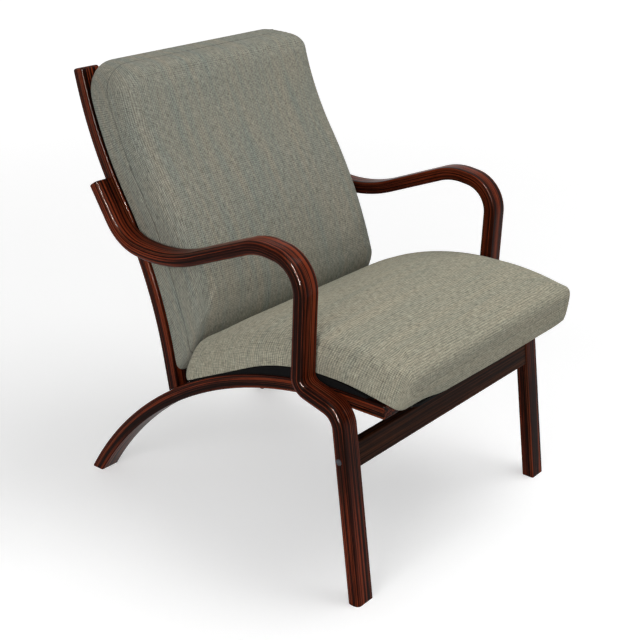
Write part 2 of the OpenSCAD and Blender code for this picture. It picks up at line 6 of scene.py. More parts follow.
import bmesh
import bpy
import numpy as np
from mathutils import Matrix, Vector


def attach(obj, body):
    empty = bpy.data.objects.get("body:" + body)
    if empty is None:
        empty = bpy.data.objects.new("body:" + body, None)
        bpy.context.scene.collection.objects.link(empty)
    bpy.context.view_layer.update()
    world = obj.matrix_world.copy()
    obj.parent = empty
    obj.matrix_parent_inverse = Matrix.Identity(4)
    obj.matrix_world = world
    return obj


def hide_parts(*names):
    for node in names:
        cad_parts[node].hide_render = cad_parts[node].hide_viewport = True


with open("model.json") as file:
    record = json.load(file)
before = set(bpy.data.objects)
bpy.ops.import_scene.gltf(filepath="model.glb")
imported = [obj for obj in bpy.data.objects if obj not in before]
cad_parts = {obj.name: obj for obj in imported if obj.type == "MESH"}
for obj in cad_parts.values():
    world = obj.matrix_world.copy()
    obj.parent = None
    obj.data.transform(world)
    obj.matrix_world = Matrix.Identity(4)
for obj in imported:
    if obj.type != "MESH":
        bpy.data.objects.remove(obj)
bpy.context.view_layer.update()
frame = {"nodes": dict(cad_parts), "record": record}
MM = 0.001

# Sizes of the bent strips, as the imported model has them

# From the middle to the inner face of an arm strip and of a rail strip, and a strip's section
HALF_IN = 265
STRIP_W = 42
STRIP_T = 25
RAIL_IN = HALF_IN - STRIP_W

# Rounding of long edges and of ends, and the steps in it
ARM_EDGE_R = 9
RAIL_EDGE_R = 3
ARM_END_R = 3
RAIL_END_R = 2
UPRIGHT_END_R = 5
LEAST_EDGE_R = 0.3
IN_STEPS = 6
OUT_STEPS = 10
END_STEPS = 5

# How far below the floor a leg runs before it is cut, and the room between pieces that touch,
# round a fastener and round a cap
BELOW_FLOOR = 40
SEAT_GAP = 0.3
FASTENER_GAP = 0.2
CAP_GAP = 0.15

# Places (x, z) and radii of the bends in the side view
LOW_BEND = (-183, 461)
LEAN = (145, 231)
FOOT_LEAN = (33, 179)
FOOT_REACH = 1.2
TOP_LEAN = (33, 136)
LOW_BEND_R = 780
HIGH_BEND_R = 720

FOOT_X = 320
LEG_LEAN = 41
KNEE = (FOOT_X - LEG_LEAN, 344)
POST_FOOT = (KNEE[0] - 87, KNEE[1] + 25)
ARM_FRONT = (POST_FOOT[0] + 10, 585)
CREST = (ARM_FRONT[0] - 96, ARM_FRONT[1] + 14)
DIP = (CREST[0] - 217, CREST[1] - 84)
ARM_TURN_Z = 532
ARM_END_Z = 632

RAIL_FRONT_X = 348
RAIL_Z = 356
ARCH_START_X = 272
ARCH_R = 770
ARCH_TURN = 60

# Where each strip's pattern of wood starts, so that no two strips look alike

GRAIN_OF_HAND = {"right": 0, "left": 2300}
RAIL_GRAIN = 5100
UPRIGHT_GRAIN = 8700

# Angles between two faces from which their edge is sharp

STRIP_SHARP = 35
BOARD_SHARP = 30
PANEL_SHARP = 50
ALL_SMOOTH = 180


def on_upright(z):
    """x on the straight middle of an upright at height z."""
    return LOW_BEND[0] - (z - LOW_BEND[1]) * LEAN[0] / LEAN[1]


# Paths as corners (x, z, radius of the bend there), and the steps of a track along them: degrees
# round a bend and millimetres along a straight

COARSE = (1.5, 12.0)
FINE = (0.5, 3)
HIGH_BEND = (LOW_BEND[0] - LEAN[0], LOW_BEND[1] + LEAN[1])
ARM_PATH = [
    (FOOT_X + LEG_LEAN * BELOW_FLOOR / KNEE[1], -BELOW_FLOOR, 0),
    (*KNEE, 38),
    (*POST_FOOT, 27),
    (*ARM_FRONT, 61),
    (*CREST, 110),
    (*DIP, 280),
    (on_upright(ARM_TURN_Z), ARM_TURN_Z, 92),
    (on_upright(ARM_END_Z), ARM_END_Z, 0),
]
UPRIGHT_PATH = [
    (LOW_BEND[0] + FOOT_REACH * FOOT_LEAN[0], LOW_BEND[1] - FOOT_REACH * FOOT_LEAN[1], 0),
    (*LOW_BEND, LOW_BEND_R),
    (*HIGH_BEND, HIGH_BEND_R),
    (HIGH_BEND[0] - TOP_LEAN[0], HIGH_BEND[1] + TOP_LEAN[1], 0),
]
ARCH_REACH = ARCH_R * math.tan(math.radians(ARCH_TURN) / 2)
RAIL_PATH = [
    (RAIL_FRONT_X, RAIL_Z, 0),
    (ARCH_START_X - ARCH_REACH, RAIL_Z, ARCH_R),
    (
        ARCH_START_X - ARCH_REACH * (1 + math.cos(math.radians(ARCH_TURN))),
        RAIL_Z - ARCH_REACH * math.sin(math.radians(ARCH_TURN)),
        0,
    ),
]

# Sizes of the cushions

# A cushion lies on a path from its start (the rear or lower end) to its end (the front or top).
# width and thick: its width, and its thickness at the sides
# crown: how much thicker it is in the middle
# toe and toe_power: how far its start leans in with height, and how that grows
# tip: how far its end leans in with height
# inset and rise: the rounding of its top edge, inwards and down
# radii: of its corners from above, at the end left, start left, start right and end right
# lift: the height over the path of the board that it lies on
# low, fold and low_r: the cover's lowest height, how far it turns in there, and the rounding
# seam: the height of its seam
# side: the side of the path that it lies on
# pull and swell: how far its edges draw in at their middle, and how far its sides bulge
# brow and brow_from: extra thickness near the end, and where that starts
# nose: how far its lower edge rises near the end
# curl and setback: how far that edge rises more, and stands back, at the right

SEAT_PATH = [(-108, 281, 0), (169, 409, 410), (384, 361, 0)]
SEAT_START = -6
SEAT_FRONT = 1
SEAT = dict(
    width=525, thick=64.5, crown=7, toe=68, toe_power=1.3, tip=0, inset=17, rise=19,
    radii=(18, 8, 8, 18), lift=0, low=-4.5, fold=3.2, low_r=2, seam=36, side=1, pull=2,
    swell=2, brow=7, brow_from=360, nose=4, curl=5, setback=8,
)
BACK = dict(
    width=525, thick=92.5, crown=5, toe=88.5, toe_power=1.25, tip=91 * TOP_LEAN[0] / TOP_LEAN[1],
    inset=23, rise=25, radii=(42, 16, 16, 64), lift=8, low=0.9, fold=9.3, low_r=8, seam=50,
    side=-1, pull=2, swell=2, brow=0, brow_from=0, nose=0, curl=0, setback=0,
)

# Height of the back cushion's lower edge, of the back's top, and how far the cushion passes it
BACK_LOW_Z = 286
BACK_TOP_Z = 832
TOP_STAND = 5

# Where the changes named above start, and how far they take
PULL_RUN = 12
BROW_RUN = 90
NOSE_RUN = 160
NOSE_UP = 30
CURL_FROM = 60
CURL_RUN = 290
SETBACK_FROM = 150
SETBACK_RUN = 50

# Space kept clear: to the boards, over the left rail, and at the arms, where sides give way
CLEAR = 1.0
RAIL_CLEAR = 3.5
RAIL_RUN = 20
SIDE_LIMIT = 264.6
SIDE_GIVE = 4

# Rows and steps of a cushion's mesh; the underside shrinks by these shares, ring by ring
ROW_PITCH = 7
LIP = 1
LIP_IN = 0.8
LOW_STEPS = 4
EDGE_STEPS = 7
CROWN_STEPS = 26
LEAST_CORNER_R = 3
OUTLINE_STEPS = dict(corner_steps=8, end_steps=36, side_steps=40)
BASE_SHARES = (0.985, 0.88, 0.76, 0.64, 0.52, 0.4, 0.28, 0.16, 0.06)
UNDERSIDE = -99

# The seam: half its width, how far it is drawn in, how far the rows beside it stand up, and the
# difference up to which two heights count as the same
SEAM_HALF = 1.8
SEAM_DEPTH = 1.1
SEAM_PUFF = 0.35
SAME_HEIGHT = 0.1

# The swelling: its pressure and length, the most that a point moves out and in, the height over
# which it grows from the held underside, and the part near the start that stays quiet, where the
# cushions meet
SIM_PRESSURE = 3
SIM_FRAMES = 16
SIM_CAP = 5
SIM_DRAW_IN = 1.2
HOLD_RUN = 16
QUIET = 90
QUIET_RUN = 50

# Sizes of the boards under the cushions: thickness, how far they stand in from the cushion's
# outline, their corners, and the place (x, z) where the seat's board gets narrower

SEAT_PANEL_T = 6
SEAT_BOARD_IN = 5.5
SEAT_BOARD_RADII = (20, 6, 6, 20)
SEAT_STEP = (321.2, 375)
BACK_BOARD_IN = 11
BACK_BOARD_RADII = (36, 14, 14, 56)
BOARD_TURN_STEPS = 6
BOARD_STEP = 7.0
BOARD_STEP_GAP = 5
BOARD_ACROSS = 15
NARROW_HALF = 0.01

# Sizes of the cloth panels behind the back and under the seat: how far they stand in, how thick
# they are, their turned hems, and the slight pull of the staples

REAR_COVER_INSET = 14
REAR_COVER_T = 1.4
REAR_HEM_T = 2.0
DUST_REAR = 15
DUST_FRONT = 12
DUST_SIDE = 2
DUST_COVER_T = 0.6
DUST_HEM_T = 0.9
HEM_W = 11
HEM_FADE = 2
HEM_EDGE_R = 0.8
HEM_EDGE_SHARE = 0.35
LEAST_T = 0.3
STAPLE_PULL = 0.15
STAPLE_PITCH = 38
STAPLE_REACH = 14
PANEL_STEP = 9

# The weave and the seam's shadow, in metres, and how strongly threads differ in shade

RIB_PITCH = 0.0034
YARN_PITCH = 0.0041
SEAM_LINE = 0.0006
SEAM_FADE = 0.0014
WARP_CONTRAST = 1.35
WEFT_CONTRAST = 0.9
FUZZ_CONTRAST = 0.35

# How often noise repeats in a metre: for wood along, across and through the laminations, for
# cloth along and across the weave

BAND_SCALE = (1.1, 150, 250)
STRIPE_SCALE = (2.4, 480, 760)
FIBRE_SCALE = (16, 1400, 1900)
PATCH_SCALE = (5, 14, 14)
LINE_SCALE = (0.9, 290, 420)
PORE_SCALE = (45, 1500, 1500)
WOBBLE_SCALE = (60, 60, 1)
WARP_SCALE = (75, 400, 1)
WEFT_SCALE = (340, 110, 1)
FUZZ_SCALE = (1500, 1500, 1)
CLOUD_SCALE = (5, 9, 1)
STREAK_SCALE = (3.5, 55, 1)

# Floor, lamps and camera, in metres; a lamp is its place, its target, its size and its power

FLOOR = 12
GLOW = (0.4, 0.78)
GLOW_REACH = (0.9, 4.0)
SKY = 0.3
TOP_LAMP = ((0.85, 0.7, 2.7), (0.05, 0, 0.4), (1.8, 1.8), 40)
SIDE_LAMP = ((0.7, -2.7, 1.5), (0, 0, 0.4), (1.4, 1.4), 29)
GLEAM_LAMP = ((1.87, -2.29, 2.0), (0.2, -0.3, 0.5), (0.4, 2.8), 1500)
CAMERA_AT = (1.460, -1.773, 1.303)
CAMERA_TURN = 39.57
CAMERA_DIP = 19.86
CAMERA_LENS = 72.4
CAMERA_SHIFT_Y = -0.10


# Paths


def unit(v):
    return np.array(v, float) / np.linalg.norm(v)


def left_of(v):
    return np.array([-v[1], v[0]])


def beside(corners, d):
    """The same path moved d to the left of its direction."""
    spots = [np.array(c[:2], float) for c in corners]
    ways = [unit(b - a) for a, b in zip(spots, spots[1:])]
    moved = []
    for i, corner in enumerate(corners):
        before = left_of(ways[max(i - 1, 0)])
        after = left_of(ways[min(i, len(ways) - 1)])
        spot = spots[i] + d * (before + after) / (1 + before @ after)
        radius = corner[2]
        if radius:
            one, two = ways[i - 1], ways[i]
            turn = one[0] * two[1] - one[1] * two[0]
            radius -= d * math.copysign(1, turn)
        moved.append((spot[0], spot[1], radius))
    return moved


def track(corners, steps=COARSE):
    """Rows (x, z, heading, distance) along corners that are joined by arcs."""
    turn_step, straight_step = steps
    spots = [np.array(c[:2], float) for c in corners]
    ways = [unit(b - a) for a, b in zip(spots, spots[1:])]
    rows = []
    here = spots[0]
    gone = 0.0
    for i, way in enumerate(ways):
        angle = math.atan2(way[1], way[0])
        last = i == len(ways) - 1
        bend = 0.0
        if not last:
            after = ways[i + 1]
            bend = math.atan2(way[0] * after[1] - way[1] * after[0], way @ after)
        radius = 0 if last else corners[i + 1][2]
        end = spots[i + 1] - way * radius * math.tan(abs(bend) / 2)
        span = np.linalg.norm(end - here)
        count = max(1, math.ceil(span / straight_step))
        for k in range(count):
            rows.append((*(here + way * span * k / count), angle, gone + span * k / count))
        gone += span
        if last:
            rows.append((*end, angle, gone))
            break
        side = math.copysign(1, bend)
        centre = end + radius * side * left_of(way)
        count = max(1, math.ceil(math.degrees(abs(bend)) / turn_step))
        for k in range(count):
            h = angle + bend * k / count
            spot = centre - radius * side * np.array([-math.sin(h), math.cos(h)])
            rows.append((*spot, h, gone + radius * abs(bend) * k / count))
        gone += radius * abs(bend)
        h = angle + bend
        here = centre - radius * side * np.array([-math.sin(h), math.cos(h)])
    return np.array(rows)


def place_at(rows, s):
    """x, z and heading at distance s along a track; beyond its ends it runs straight on."""
    s = np.asarray(s, float)
    inside = np.clip(s, rows[0, 3], rows[-1, 3])
    h = np.interp(inside, rows[:, 3], np.unwrap(rows[:, 2]))
    x = np.interp(inside, rows[:, 3], rows[:, 0]) + (s - inside) * np.cos(h)
    z = np.interp(inside, rows[:, 3], rows[:, 1]) + (s - inside) * np.sin(h)
    return x, z, h


def along_and_off(rows, x, z):
    """Distance along a track, and offset to its left, of the points x, z."""
    spots = rows[:, :2]
    points = np.stack([x, z], axis=1)
    best = np.zeros(len(points), int)
    for start in range(0, len(points), 4000):
        part = points[start:start + 4000]
        gaps = ((part[:, None, :] - spots[None, :, :]) ** 2).sum(axis=2)
        best[start:start + 4000] = gaps.argmin(axis=1)
    h = rows[best, 2]
    delta = points - spots[best]
    s = rows[best, 3] + delta[:, 0] * np.cos(h) + delta[:, 1] * np.sin(h)
    n = -delta[:, 0] * np.sin(h) + delta[:, 1] * np.cos(h)
    return s, n


# Mesh helpers


def positions(mesh):
    co = np.empty(len(mesh.vertices) * 3)
    mesh.vertices.foreach_get("co", co)
    return co.reshape(-1, 3)


def piece_from(name, verts, faces, smooth_angle):
    """A new object from points in millimetres, with outward faces and sharp real edges."""
    mesh = bpy.data.meshes.new(name)
    mesh.from_pydata([tuple(MM * c for c in v) for v in verts], [], faces)
    bm = bmesh.new()
    bm.from_mesh(mesh)
    bmesh.ops.recalc_face_normals(bm, faces=bm.faces)
    bm.to_mesh(mesh)
    bm.free()
    finish_shading(mesh, smooth_angle)
    piece = bpy.data.objects.new(name, mesh)
    bpy.context.scene.collection.objects.link(piece)
    return piece


def finish_shading(mesh, smooth_angle):
    mesh.shade_smooth()
    if smooth_angle < ALL_SMOOTH:
        mesh.set_sharp_from_angle(angle=math.radians(smooth_angle))


def keep_vectors(mesh, name, values):
    """Three numbers a point, for a material to read by name."""
    made = mesh.attributes.new(name, "FLOAT_VECTOR", "POINT")
    made.data.foreach_set("vector", np.ascontiguousarray(values, np.float32).ravel())


def apply_modifiers(piece):
    bpy.context.view_layer.update()
    graph = bpy.context.evaluated_depsgraph_get()
    made = bpy.data.meshes.new_from_object(piece.evaluated_get(graph))
    old = piece.data
    piece.modifiers.clear()
    piece.data = made
    bpy.data.meshes.remove(old)


def grown_copy(nodes, gap):
    """One object with the solids of some nodes, each grown by gap, to cut seats with."""
    bm = bmesh.new()
    for name in nodes:
        bm.from_mesh(frame["nodes"][name].data)
    bmesh.ops.remove_doubles(bm, verts=bm.verts, dist=1e-6)
    bmesh.ops.recalc_face_normals(bm, faces=bm.faces)
    moves = {}
    for v in bm.verts:
        moves[v] = v.normal * gap * MM * max(v.calc_shell_factor(), 1)
    for v, move in moves.items():
        v.co += move
    mesh = bpy.data.meshes.new("cutter")
    bm.to_mesh(mesh)
    bm.free()
    cutter = bpy.data.objects.new("cutter", mesh)
    bpy.context.scene.collection.objects.link(cutter)
    return cutter


def cut_seats(piece, nodes, gap=FASTENER_GAP):
    """Cuts the true seats of the fasteners in these nodes out of a piece."""
    cutter = grown_copy(nodes, gap)
    cut = piece.modifiers.new("seats", "BOOLEAN")
    cut.operation = "DIFFERENCE"
    cut.solver = "EXACT"
    cut.object = cutter
    apply_modifiers(piece)
    mesh = cutter.data
    bpy.data.objects.remove(cutter)
    bpy.data.meshes.remove(mesh)


# Bent strips


def strip_section(r_in, r_out, inset):
    """Section of a strip: (offset to the left of its path, distance out from its inner face)."""
    h = STRIP_T / 2
    corners = [
        (h - r_in, r_in, r_in, -90, IN_STEPS),
        (h - r_out, STRIP_W - r_out, r_out, 0, OUT_STEPS),
        (r_out - h, STRIP_W - r_out, r_out, 90, OUT_STEPS),
        (r_in - h, r_in, r_in, 180, IN_STEPS),
    ]
    points = []
    for n, w, r, start, steps in corners:
        small = max(r - inset, LEAST_EDGE_R)
        slip = max(inset - r + LEAST_EDGE_R, 0)
        for k in range(steps + 1):
            a = math.radians(start + 90 * k / steps)
            middle = STRIP_W / 2
            points.append((
                n - math.copysign(slip, n) + small * math.cos(a),
                w - math.copysign(slip, w - middle) + small * math.sin(a),
            ))
    return points


def end_rings(end_r):
    """(distance from the end, inset) of the rings that round the end of a strip."""
    rings = []
    for k in range(END_STEPS + 1):
        a = math.radians(90 * k / END_STEPS)
        rings.append((end_r * (1 - math.sin(a)), end_r * (1 - math.cos(a))))
    return rings


def bent_strip(name, corners, side, inner, radii, round_start, round_end, trim=None):
    """A strip swept along a path in a side view; its inner face lies at inner from the middle."""
    rows = track(corners)
    total = rows[-1, 3]
    stations = [(s, 0.0) for s in rows[:, 3]]
    if round_start:
        stations = [st for st in stations if st[0] > round_start]
        stations = sorted(end_rings(round_start)) + stations
    if round_end:
        stations = [st for st in stations if st[0] < total - round_end]
        stations += sorted((total - d, i) for d, i in end_rings(round_end))
    verts = []
    for j, (s, inset) in enumerate(stations):
        x, z, h = place_at(rows, s)
        for n, w in strip_section(*radii, inset):
            px = x - n * math.sin(h)
            pz = z + n * math.cos(h)
            if trim and j == 0:
                px, pz = trim(px, pz, h)
            verts.append((px, side * (inner + w), pz))
    ring = len(verts) // len(stations)
    faces = []
    for j in range(len(stations) - 1):
        for k in range(ring):
            a = j * ring + k
            b = j * ring + (k + 1) % ring
            faces.append((a, b, b + ring, a + ring))
    faces.append(tuple(range(ring)))
    faces.append(tuple(range(len(verts) - ring, len(verts))))
    return piece_from(name, verts, faces, STRIP_SHARP)


def cut_at_floor(piece):
    """Cuts off what lies below the floor, and closes the foot."""
    bm = bmesh.new()
    bm.from_mesh(piece.data)
    cut = bmesh.ops.bisect_plane(
        bm, geom=bm.verts[:] + bm.edges[:] + bm.faces[:], plane_co=(0, 0, 0),
        plane_no=(0, 0, 1), clear_inner=True,
    )
    edges = [e for e in cut["geom_cut"] if isinstance(e, bmesh.types.BMEdge)]
    bmesh.ops.contextual_create(bm, geom=edges)
    bmesh.ops.recalc_face_normals(bm, faces=bm.faces)
    bm.to_mesh(piece.data)
    bm.free()


def keep_grain(piece, corners, shift):
    """Coordinates along, across and through the laminations at each point."""
    fine = track(corners, FINE)
    co = positions(piece.data) / MM
    s, n = along_and_off(fine, co[:, 0], co[:, 2])
    values = np.stack([s + shift, co[:, 1], n], axis=1) * MM
    keep_vectors(piece.data, "grain", values)


def finish_strip(piece, path, seats, gap, shift, replaced):
    """Cuts a strip's seats, gives it its grain and its lacquer, and hides the node that it replaces.
    """
    cut_seats(piece, seats, gap)
    keep_grain(piece, path, shift)
    piece.data.materials.append(STRIP_WOOD)
    finish_shading(piece.data, STRIP_SHARP)
    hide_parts(replaced)
    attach(piece, "root")


def arch_trim(x, z, h):
    """Moves a point of the upright's lower end down along the strip onto the arch."""
    centre = np.array([ARCH_START_X, RAIL_Z - ARCH_R])
    down = -np.array([math.cos(h), math.sin(h)])
    v = np.array([x, z]) - centre
    r = ARCH_R + STRIP_T / 2 + SEAT_GAP
    b = v @ down
    reach = -b - math.sqrt(max(b * b - v @ v + r * r, 0))
    return (x + down[0] * reach, z + down[1] * reach)


# Shader helpers


def srgb(r, g, b):
    """A colour given as 0 to 255 values on a screen, as the shader wants it."""
    linear = []
    for c in (r, g, b):
        c = c / 255
        linear.append(c / 12.92 if c <= 0.04045 else ((c + 0.055) / 1.055) ** 2.4)
    return (*linear, 1)


def new_material(name):
    mat = bpy.data.materials.new(name)
    mat.use_nodes = True
    return mat, mat.node_tree, mat.node_tree.nodes["Principled BSDF"]


def add(tree, kind, inputs=(), **settings):
    """A node with its settings, and its inputs linked or set."""
    made = tree.nodes.new(kind)
    for key, value in settings.items():
        setattr(made, key, value)
    for key, value in dict(inputs).items():
        if isinstance(value, bpy.types.NodeSocket):
            tree.links.new(value, made.inputs[key])
        else:
            made.inputs[key].default_value = value
    return made


def maths(tree, operation, *values, clamp=False):
    return add(
        tree, "ShaderNodeMath", enumerate(values), operation=operation, use_clamp=clamp
    ).outputs[0]


def weighted(tree, first, *others):
    """The sum of values, each given with its weight."""
    total = maths(tree, "MULTIPLY", *first)
    for value, weight in others:
        total = maths(tree, "MULTIPLY_ADD", value, weight, total)
    return total


def scaled(tree, vector, scale):
    return add(
        tree, "ShaderNodeVectorMath", {0: vector, 1: scale}, operation="MULTIPLY"
    ).outputs[0]


def noise(tree, vector, detail=2.0, rough=0.5, distortion=0.0):
    return add(
        tree, "ShaderNodeTexNoise",
        {"Vector": vector, "Scale": 1.0, "Detail": detail, "Roughness": rough,
         "Distortion": distortion},
    ).outputs["Fac"]


def ramp(tree, factor, stops):
    made = add(tree, "ShaderNodeValToRGB", {"Fac": factor})
    elements = made.color_ramp.elements
    while len(elements) < len(stops):
        elements.new(0.5)
    for element, (at, colour) in zip(elements, stops):
        element.position = at
        element.color = colour
    return made.outputs["Color"]


def mixed(tree, factor, one, two, blend="MIX"):
    made = add(tree, "ShaderNodeMix", data_type="RGBA", blend_type=blend)
    for socket, value in ((made.inputs[0], factor), (made.inputs[6], one), (made.inputs[7], two)):
        if isinstance(value, bpy.types.NodeSocket):
            tree.links.new(value, socket)
        else:
            socket.default_value = value
    return made.outputs[2]


def spread(tree, value, low, high, to_low=0.0, to_high=1.0):
    """A value moved from one range to another and kept inside it."""
    return add(
        tree, "ShaderNodeMapRange",
        {"Value": value, "From Min": low, "From Max": high, "To Min": to_low, "To Max": to_high},
    ).outputs[0]


def bump(tree, height, distance, strength=1.0):
    return add(
        tree, "ShaderNodeBump", {"Height": height, "Distance": distance, "Strength": strength}
    ).outputs[0]


# Materials


def wood_colours(tree, grain, dark, middle, light, fine_line):
    """Dark and red-brown bands along the grain; grain is (along, across, through) in metres."""
    bands = noise(tree, scaled(tree, grain, BAND_SCALE), 2, 0.5, 0.2)
    stripes = noise(tree, scaled(tree, grain, STRIPE_SCALE), 3, 0.6)
    fibres = noise(tree, scaled(tree, grain, FIBRE_SCALE), 2, 0.6)
    patches = noise(tree, scaled(tree, grain, PATCH_SCALE), 2, 0.5)
    tone = weighted(tree, (bands, 0.4), (stripes, 0.38), (fibres, 0.1), (patches, 0.12))
    colour = ramp(tree, tone, [(0.44, dark), (0.5, middle), (0.56, light)])
    lines = noise(tree, scaled(tree, grain, LINE_SCALE), 1, 0.5)
    line = spread(tree, lines, 0.64, 0.7, 0, 0.55)
    colour = mixed(tree, line, colour, fine_line)
    pores = noise(tree, scaled(tree, grain, PORE_SCALE), 1, 0.5)
    pore = spread(tree, pores, 0.6, 0.7, 0, 0.6)
    return mixed(tree, pore, colour, dark), tone, fibres


def lacquered_wood(name, dark, middle, light, fine_line, grain_from, coat, coat_rough):
    mat, tree, shader = new_material(name)
    if grain_from == "grain":
        grain = add(tree, "ShaderNodeAttribute", attribute_name="grain").outputs["Vector"]
    else:
        place = add(tree, "ShaderNodeTexCoord").outputs["Object"]
        split = add(tree, "ShaderNodeSeparateXYZ", {0: place})
        grain = add(
            tree, "ShaderNodeCombineXYZ",
            {0: split.outputs[1], 1: split.outputs[2], 2: split.outputs[0]},
        ).outputs[0]
    colour, tone, fibres = wood_colours(tree, grain, dark, middle, light, fine_line)
    tree.links.new(colour, shader.inputs["Base Color"])
    rough = spread(tree, fibres, 0.3, 0.7, 0.26, 0.4)
    tree.links.new(rough, shader.inputs["Roughness"])
    shader.inputs["Specular IOR Level"].default_value = 0.025
    shader.inputs["Specular Tint"].default_value = (0.7, 0.3, 0.17, 1)
    shader.inputs["Coat Weight"].default_value = coat
    shader.inputs["Coat Roughness"].default_value = coat_rough
    height = weighted(tree, (fibres, 0.4), (tone, 0.6))
    tree.links.new(bump(tree, height, 0.00015, 0.4), shader.inputs["Normal"])
    return mat


def woven_cloth(name, warm, cool, swap, seam, seam_shade):
    """Coarse woven cloth; the weave attribute is (along, across, height) in metres.

    swap turns its ribs by a right angle; the seam is a darker line at that height, painted shade in
    its groove."""
    mat, tree, shader = new_material(name)
    weave = add(tree, "ShaderNodeAttribute", attribute_name="weave").outputs["Vector"]
    split = add(tree, "ShaderNodeSeparateXYZ", {0: weave})
    along, across = split.outputs[0], split.outputs[1]
    if swap:
        along, across = across, along
    cloth = add(tree, "ShaderNodeCombineXYZ", {0: along, 1: across, 2: 0.0}).outputs[0]
    wobble = noise(tree, scaled(tree, cloth, WOBBLE_SCALE), 2, 0.5)
    shift = maths(tree, "MULTIPLY", wobble, 0.4)
    u = maths(tree, "MULTIPLY_ADD", along, 1 / RIB_PITCH, shift)
    v = maths(tree, "MULTIPLY_ADD", across, 1 / YARN_PITCH, shift)
    wave_u = maths(tree, "SINE", maths(tree, "MULTIPLY", u, math.pi))
    wave_v = maths(tree, "SINE", maths(tree, "MULTIPLY", v, math.pi))
    a = maths(tree, "ABSOLUTE", wave_u)
    b = maths(tree, "ABSOLUTE", wave_v)
    over = spread(tree, maths(tree, "MULTIPLY", wave_u, wave_v), -0.15, 0.15)
    tops = maths(tree, "MULTIPLY", a, maths(tree, "POWER", b, 0.35))
    sides = maths(tree, "MULTIPLY", maths(tree, "POWER", a, 0.35), b)
    height = add(
        tree, "ShaderNodeMix", {0: over, 2: sides, 3: tops}, data_type="FLOAT"
    ).outputs[0]
    warp = noise(tree, scaled(tree, cloth, WARP_SCALE), 2, 0.55)
    weft = noise(tree, scaled(tree, cloth, WEFT_SCALE), 2, 0.55)
    fuzz = noise(tree, scaled(tree, cloth, FUZZ_SCALE), 2, 0.7)
    cloudy = noise(tree, scaled(tree, cloth, CLOUD_SCALE), 2, 0.5)
    streak = noise(tree, scaled(tree, cloth, STREAK_SCALE), 2, 0.55)
    tint = weighted(tree, (cloudy, 0.3), (streak, 0.7))
    base = mixed(tree, spread(tree, tint, 0.34, 0.66), warm, cool)
    # The colour is darker where the weave is low: painted shade in the gaps between threads. Warp,
    # weft and fuzz below add the threads' own differences in tone.
    shade = maths(tree, "MULTIPLY_ADD", maths(tree, "SUBTRACT", height, 0.55), 0.7, 0.98)
    for threads, strength in ((warp, WARP_CONTRAST), (weft, WEFT_CONTRAST), (fuzz, FUZZ_CONTRAST)):
        shade = maths(
            tree, "MULTIPLY_ADD", maths(tree, "SUBTRACT", threads, 0.5), strength, shade
        )
    # A darker line along the seam's height: painted shade in the seam's groove
    off_seam = maths(tree, "ABSOLUTE", maths(tree, "SUBTRACT", split.outputs[2], seam * MM))
    seam_painted_shade = spread(tree, off_seam, SEAM_LINE, SEAM_FADE, seam_shade, 1.0)
    level = maths(tree, "MULTIPLY", spread(tree, shade, 0.3, 1.6, 0.3, 1.6), seam_painted_shade)
    grey = add(tree, "ShaderNodeCombineColor", {0: level, 1: level, 2: level}).outputs[0]
    colour = mixed(tree, 1.0, base, grey, "MULTIPLY")
    tree.links.new(colour, shader.inputs["Base Color"])
    shader.inputs["Roughness"].default_value = 0.92
    shader.inputs["Specular IOR Level"].default_value = 0.06
    shader.inputs["Sheen Weight"].default_value = 0.04
    shader.inputs["Sheen Roughness"].default_value = 0.45
    relief = maths(tree, "MULTIPLY_ADD", fuzz, 0.3, height)
    tree.links.new(bump(tree, relief, 0.0006, 0.8), shader.inputs["Normal"])
    return mat


def plain_surface(name, one, two, rough, scale, metal=0.0, gloss=0.5):
    """A surface with fine mottling of two near colours, placed by the object's own coordinates."""
    mat, tree, shader = new_material(name)
    place = add(tree, "ShaderNodeTexCoord").outputs["Object"]
    mottle = noise(tree, scaled(tree, place, scale), 4, 0.6)
    colour = mixed(tree, spread(tree, mottle, 0.35, 0.65), one, two)
    tree.links.new(colour, shader.inputs["Base Color"])
    fine = noise(tree, scaled(tree, place, tuple(8 * s for s in scale)), 2, 0.6)
    tree.links.new(spread(tree, fine, 0.3, 0.7, rough[0], rough[1]), shader.inputs["Roughness"])
    shader.inputs["Metallic"].default_value = metal
    shader.inputs["Specular IOR Level"].default_value = gloss
    tree.links.new(bump(tree, fine, 0.0001, 0.6), shader.inputs["Normal"])
    return mat


STRIP_WOOD = lacquered_wood(
    "strip_wood", srgb(14, 4, 2), srgb(45, 16, 9), srgb(120, 49, 25), srgb(140, 74, 43),
    "grain", 0.05, 0.05,
)
BOARD_WOOD = lacquered_wood(
    "board_wood", srgb(23, 11, 6), srgb(43, 22, 12), srgb(70, 38, 21), srgb(82, 49, 28),
    "object", 0.01, 0.25,
)
SEAT_CLOTH = woven_cloth(
    "seat_cloth", srgb(160, 154, 134), srgb(148, 147, 130), True, SEAT["seam"], 0.92
)
BACK_CLOTH = woven_cloth(
    "back_cloth", srgb(142, 137, 121), srgb(126, 130, 120), False, BACK["seam"], 0.6
)
BLACK_BOARD = plain_surface(
    "black_board", srgb(6, 6, 7), srgb(13, 12, 12), (0.55, 0.75), (60, 60, 60), gloss=0.02
)
DUST_CLOTH = plain_surface(
    "dust_cloth", srgb(18, 18, 19), srgb(30, 30, 31), (0.85, 0.98), (300, 300, 300), gloss=0.2
)
BEECH = plain_surface(
    "beech", srgb(196, 160, 116), srgb(214, 180, 136), (0.5, 0.65), (40, 40, 400)
)
STEEL = plain_surface(
    "steel", srgb(168, 170, 174), srgb(188, 190, 194), (0.25, 0.4), (200, 200, 200), metal=1.0
)
CAP = plain_surface(
    "cap", srgb(30, 31, 37), srgb(44, 46, 54), (0.35, 0.5), (200, 200, 200), gloss=0.3
)

SLOT_MATERIALS = {
    "lacquered_wood": BOARD_WOOD,
    "black_board": BLACK_BOARD,
    "dust_cloth": DUST_CLOTH,
    "woven_cloth": BACK_CLOTH,
    "beech": BEECH,
    "steel": STEEL,
    "cap": CAP,
}


